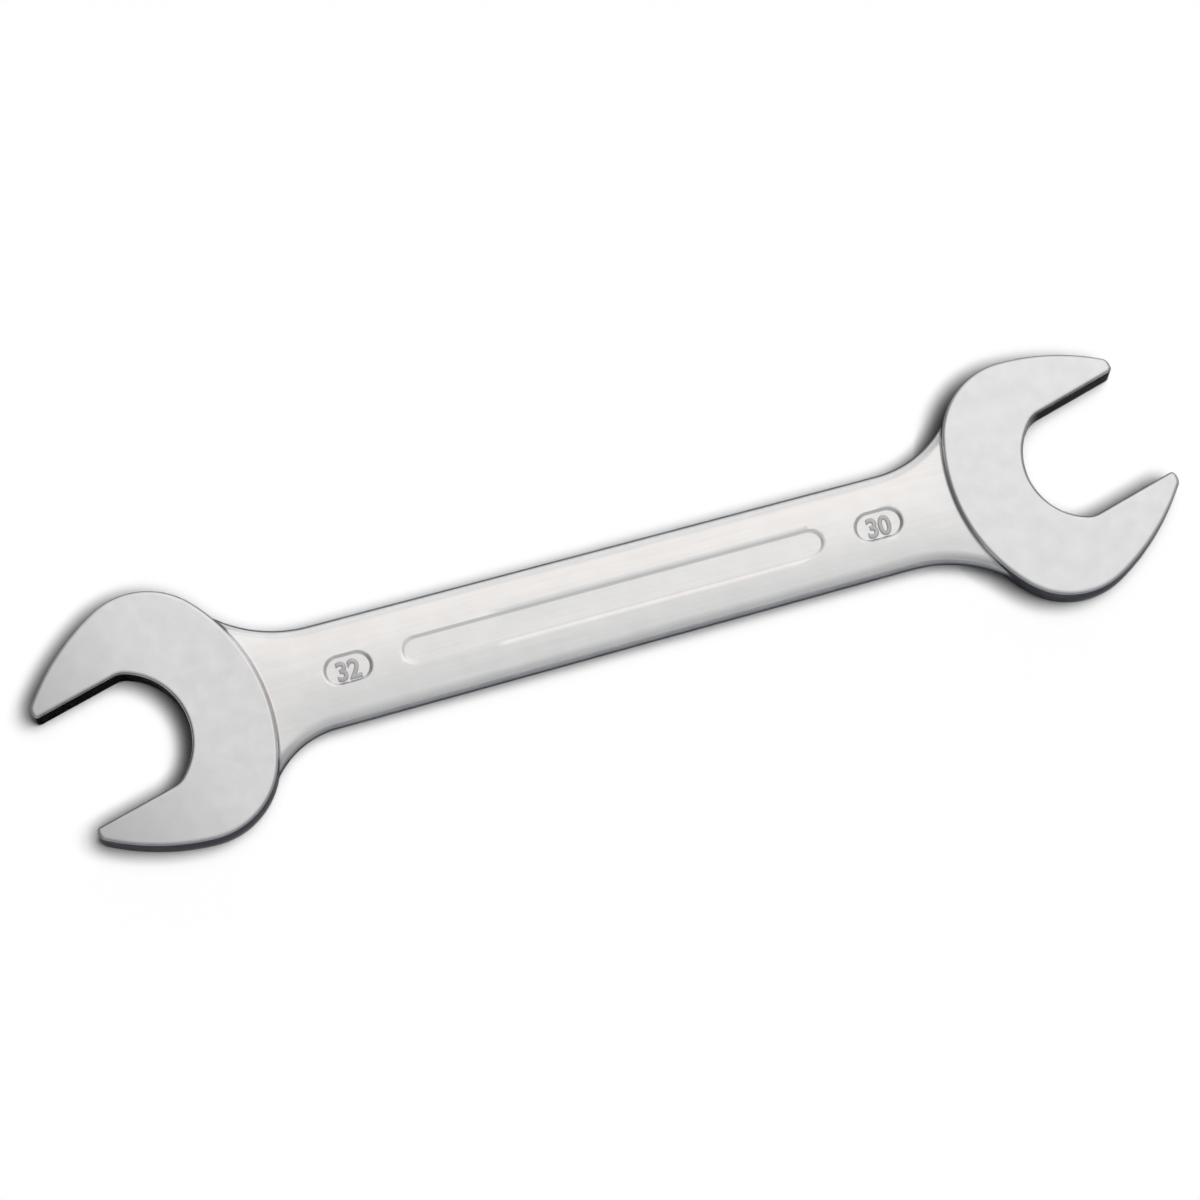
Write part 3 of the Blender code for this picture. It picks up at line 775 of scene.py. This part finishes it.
def size_number(size, place, under, plating):
    bpy.ops.object.select_all(action="DESELECT")
    bpy.ops.object.text_add()
    piece = bpy.context.object
    piece.name = "size_number_" + size + ("_under" if under else "_upper")
    piece.data.body = size
    piece.data.size = NUMBER_HEIGHT
    piece.data.extrude = (NUMBER_RISE + NUMBER_SINK) / 2 - NUMBER_BEVEL
    piece.data.bevel_depth = NUMBER_BEVEL
    piece.data.bevel_resolution = NUMBER_BEVEL_STEPS
    bpy.ops.object.convert(target="MESH")
    bpy.ops.object.mode_set(mode="EDIT")
    bpy.ops.mesh.select_all(action="SELECT")
    bpy.ops.mesh.remove_doubles(threshold=WELD)
    bpy.ops.mesh.normals_make_consistent(inside=False)
    bpy.ops.object.mode_set(mode="OBJECT")
    bpy.ops.object.origin_set(type="ORIGIN_GEOMETRY", center="BOUNDS")
    piece.scale = (NUMBER_WIDTH / piece.dimensions.x, NUMBER_HEIGHT / piece.dimensions.y, 1)
    foot = SHANK_THICKNESS / 2 - OVAL_DEPTH - NUMBER_SINK
    piece.location = (place, -NUMBER_DROP, foot + (NUMBER_RISE + NUMBER_SINK) / 2)
    bpy.ops.object.transform_apply(location=True, rotation=False, scale=True)
    if under:
        piece.rotation_euler.x = math.pi
    piece.location = settled
    bpy.ops.object.transform_apply(location=True, rotation=True, scale=False)
    bpy.ops.object.shade_smooth_by_angle(angle=SMOOTH_ANGLE)
    piece.data.materials.clear()
    piece.data.materials.append(plating)
    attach(piece, "root")


number_plating = matt_chrome_plating()
for under in (False, True):
    size_number("32", OVAL_32_PLACE, under, number_plating)
    size_number("30", OVAL_30_PLACE, under, number_plating)

# Camera: a long lens nearly overhead, tilted and turned as in the photograph, on which the origin
# pixel shows the middle of the frame's floor.
CAMERA_TURN = math.radians(-15.33)
CAMERA_RISE = math.radians(80.5)
CAMERA_DISTANCE = 2.0
SENSOR_WIDTH_MM = 36
NEAREST_SEEN = 0.01
FARTHEST_SEEN = 100
IMAGE_SIDE = 1200
PIXELS_PER_METRE = 3900
ORIGIN_PIXEL = (606.7, 606.2)
back = Vector((math.sin(CAMERA_TURN) * math.cos(CAMERA_RISE),
               -math.cos(CAMERA_TURN) * math.cos(CAMERA_RISE), math.sin(CAMERA_RISE)))
right = Vector((math.cos(CAMERA_TURN), math.sin(CAMERA_TURN), 0))
far = Vector((-right.y, right.x, 0))
up = back.cross(right)
from_centre = [pixel - IMAGE_SIDE / 2 for pixel in ORIGIN_PIXEL]
aim = (-right * from_centre[0] + up * from_centre[1]) / PIXELS_PER_METRE
lens = bpy.data.cameras.new("camera")
lens.sensor_width = SENSOR_WIDTH_MM
lens.lens = lens.sensor_width * PIXELS_PER_METRE * CAMERA_DISTANCE / IMAGE_SIDE
lens.clip_start = NEAREST_SEEN
lens.clip_end = FARTHEST_SEEN
camera = bpy.data.objects.new("camera", lens)
bpy.context.collection.objects.link(camera)
camera.location = aim + back * CAMERA_DISTANCE
camera.rotation_mode = "QUATERNION"
camera.rotation_quaternion = back.to_track_quat("Z", "Y")
bpy.context.scene.camera = camera

# Lamp: a soft light high on the right of the photograph, which gives the paper its shadows. The
# metal doesn't mirror it.
LAMP_SPREAD = math.radians(34)
LAMP_LEAN = 0.27
LAMP_LEVEL = 0.85
lamp_data = bpy.data.lights.new("soft_lamp", "SUN")
lamp_data.angle = LAMP_SPREAD
lamp_data.energy = LAMP_LEVEL * math.pi
lamp = bpy.data.objects.new("soft_lamp", lamp_data)
bpy.context.collection.objects.link(lamp)
towards = (right * LAMP_LEAN + Vector((0, 0, 1))).normalized()
lamp.rotation_mode = "QUATERNION"
lamp.rotation_quaternion = towards.to_track_quat("Z", "Y")
lamp.visible_glossy = False

# Softbox: a panel over the far right, seen only in the metal, which makes the right head and the
# far side of every face the brighter.
SOFTBOX_WIDTH = 0.9
SOFTBOX_DEPTH = 0.6
SOFTBOX_HEIGHT = 0.9
SOFTBOX_PLACE = (0.15, 0.42)
SOFTBOX_LEVEL = 0.38
softbox_data = bpy.data.lights.new("softbox", "AREA")
softbox_data.shape = "RECTANGLE"
softbox_data.size = SOFTBOX_WIDTH
softbox_data.size_y = SOFTBOX_DEPTH
softbox_data.energy = SOFTBOX_LEVEL * math.pi * SOFTBOX_WIDTH * SOFTBOX_DEPTH
softbox = bpy.data.objects.new("softbox", softbox_data)
bpy.context.collection.objects.link(softbox)
softbox.location = right * SOFTBOX_PLACE[0] + far * SOFTBOX_PLACE[1] + Vector((0, 0, SOFTBOX_HEIGHT))
softbox.rotation_euler.z = CAMERA_TURN
softbox.visible_diffuse = False
softbox.visible_camera = False

# Floor: a sheet of white studio paper, a touch below the wrench. Its colour and its glow are darkened
# where something stands close by, a painted contact shadow on which the wrench lies firm and dark.
FLOOR_HALF = 3.0
FLOOR_GAP = 0.02 * MM
FLOOR_LIFT = 0.11
PAPER_WHITE = "#FAFAFA"
PAPER_ROUGHNESS = 0.9
# How far a shadow reaches from an edge and where it leans, how open the sky over the paper is where
# the shadow is deepest and where it ends, and what the paper gives back where it is deepest.
SHADE_REACH = 7.0 * MM
SHADE_LEAN_RIGHT = 0.7
SHADE_LEAN_NEAR = 0.1
SHADE_OPENNESS = (0.3, 0.96)
SHADE_DEEPEST = 0.1
SHADE_SAMPLES = 16
bpy.ops.object.select_all(action="DESELECT")
bpy.ops.mesh.primitive_plane_add(size=2 * FLOOR_HALF, location=(0, 0, -FLOOR_GAP))
floor = bpy.context.object
floor.name = "studio_paper"
paper = bpy.data.materials.new("white_studio_paper")
paper.use_nodes = True
tree = paper.node_tree
shader = tree.nodes["Principled BSDF"]
shader.inputs["Roughness"].default_value = PAPER_ROUGHNESS
shader.inputs["Specular IOR Level"].default_value = 0
leaning = (right * SHADE_LEAN_RIGHT - far * SHADE_LEAN_NEAR + Vector((0, 0, 1))).normalized()
lean = add_node(tree, "ShaderNodeCombineXYZ", inputs={"X": leaning.x, "Y": leaning.y, "Z": leaning.z})
openness = add_node(tree, "ShaderNodeAmbientOcclusion", {"samples": SHADE_SAMPLES}, {
    "Distance": SHADE_REACH, "Normal": lean.outputs["Vector"]})
shade = add_node(tree, "ShaderNodeMapRange", {"interpolation_type": "SMOOTHSTEP"}, {
    "Value": openness.outputs["AO"], "From Min": SHADE_OPENNESS[0], "From Max": SHADE_OPENNESS[1],
    "To Min": SHADE_DEEPEST, "To Max": 1})
# Painted shadow: the paper's colour darkens from white towards black where the sky over it closes.
white = add_node(tree, "ShaderNodeMix", {"data_type": "RGBA"}, {
    0: shade.outputs["Result"], 6: to_linear("#000000"), 7: to_linear(PAPER_WHITE)})
tree.links.new(white.outputs[2], shader.inputs["Base Color"])
rays = add_node(tree, "ShaderNodeLightPath")
seen = rays.outputs["Is Camera Ray"]
for ray in ("Is Glossy Ray", "Is Transmission Ray"):
    seen = add_node(tree, "ShaderNodeMath", {"operation": "ADD", "use_clamp": True},
                    {0: seen, 1: rays.outputs[ray]}).outputs[0]
# The glow carries the same painted shadow.
for share in (FLOOR_LIFT, shade.outputs["Result"]):
    seen = add_node(tree, "ShaderNodeMath", {"operation": "MULTIPLY"}, {0: seen, 1: share}).outputs[0]
shader.inputs["Emission Color"].default_value = (1, 1, 1, 1)
tree.links.new(seen, shader.inputs["Emission Strength"])
floor.data.materials.append(paper)

# Studio: the room that the metal mirrors, bright on its far side, dim on the others, and a little
# warm above the far side. It adds only a touch of light to the paper.
BRIGHTEST = 1.15
# From the near side, at 0, to the far side, at 1: the level there and its tone.
ROOM = (
    (0.0, 0.45, (0.98, 0.99, 1.0)),
    (0.08, 0.60, (0.98, 0.99, 1.0)),
    (0.30, 0.75, (0.99, 0.995, 1.0)),
    (0.456, 0.86, (1.0, 1.0, 1.0)),
    (0.58, 0.90, (1.0, 1.0, 1.0)),
    (0.68, 0.95, (1.0, 0.92, 0.87)),
    (0.80, 1.02, (1.0, 0.97, 0.955)),
    (0.92, 1.10, (1.0, 1.0, 1.0)),
    (1.0, 1.15, (1.0, 1.0, 1.0)),
)
# From the left, at -1, to the right, at 1: each stretch over which the light changes, with the
# levels at its ends.
ACROSS = (
    (-0.4, 0.4, 0.91, 1.06),
    (-0.9, -0.4, 0.3, 1),
    (0.4, 0.9, 1, 0.55),
)
ON_PAPER = 0.15
world = bpy.data.worlds.new("studio")
bpy.context.scene.world = world
world.use_nodes = True
tree = world.node_tree
direction = add_node(tree, "ShaderNodeTexCoord").outputs["Generated"]
to_far = add_node(tree, "ShaderNodeVectorMath", {"operation": "DOT_PRODUCT"}, {0: direction, 1: far})
to_right = add_node(tree, "ShaderNodeVectorMath", {"operation": "DOT_PRODUCT"}, {0: direction, 1: right})
depth = add_node(tree, "ShaderNodeMapRange", inputs={
    "Value": to_far.outputs["Value"], "From Min": -1, "From Max": 1})
ramp = add_node(tree, "ShaderNodeValToRGB", inputs={"Fac": depth.outputs["Result"]})
while len(ramp.color_ramp.elements) < len(ROOM):
    ramp.color_ramp.elements.new(0.5)
for element, (place, grey, tone) in zip(ramp.color_ramp.elements, ROOM):
    element.position = place
    element.color = [grey / BRIGHTEST * channel for channel in tone] + [1]
rays = add_node(tree, "ShaderNodeLightPath")
strength = add_node(tree, "ShaderNodeMapRange", inputs={
    "Value": rays.outputs["Is Diffuse Ray"],
    "To Min": BRIGHTEST, "To Max": BRIGHTEST * ON_PAPER}).outputs["Result"]
for start, end, level, end_level in ACROSS:
    change = add_node(tree, "ShaderNodeMapRange", {"interpolation_type": "SMOOTHSTEP"}, {
        "Value": to_right.outputs["Value"], "From Min": start, "From Max": end,
        "To Min": level, "To Max": end_level})
    strength = add_node(tree, "ShaderNodeMath", {"operation": "MULTIPLY"},
                        {0: strength, 1: change.outputs["Result"]}).outputs[0]
backdrop = tree.nodes["Background"]
tree.links.new(ramp.outputs["Color"], backdrop.inputs["Color"])
tree.links.new(strength, backdrop.inputs["Strength"])

bpy.context.scene.view_settings.view_transform = "Standard"
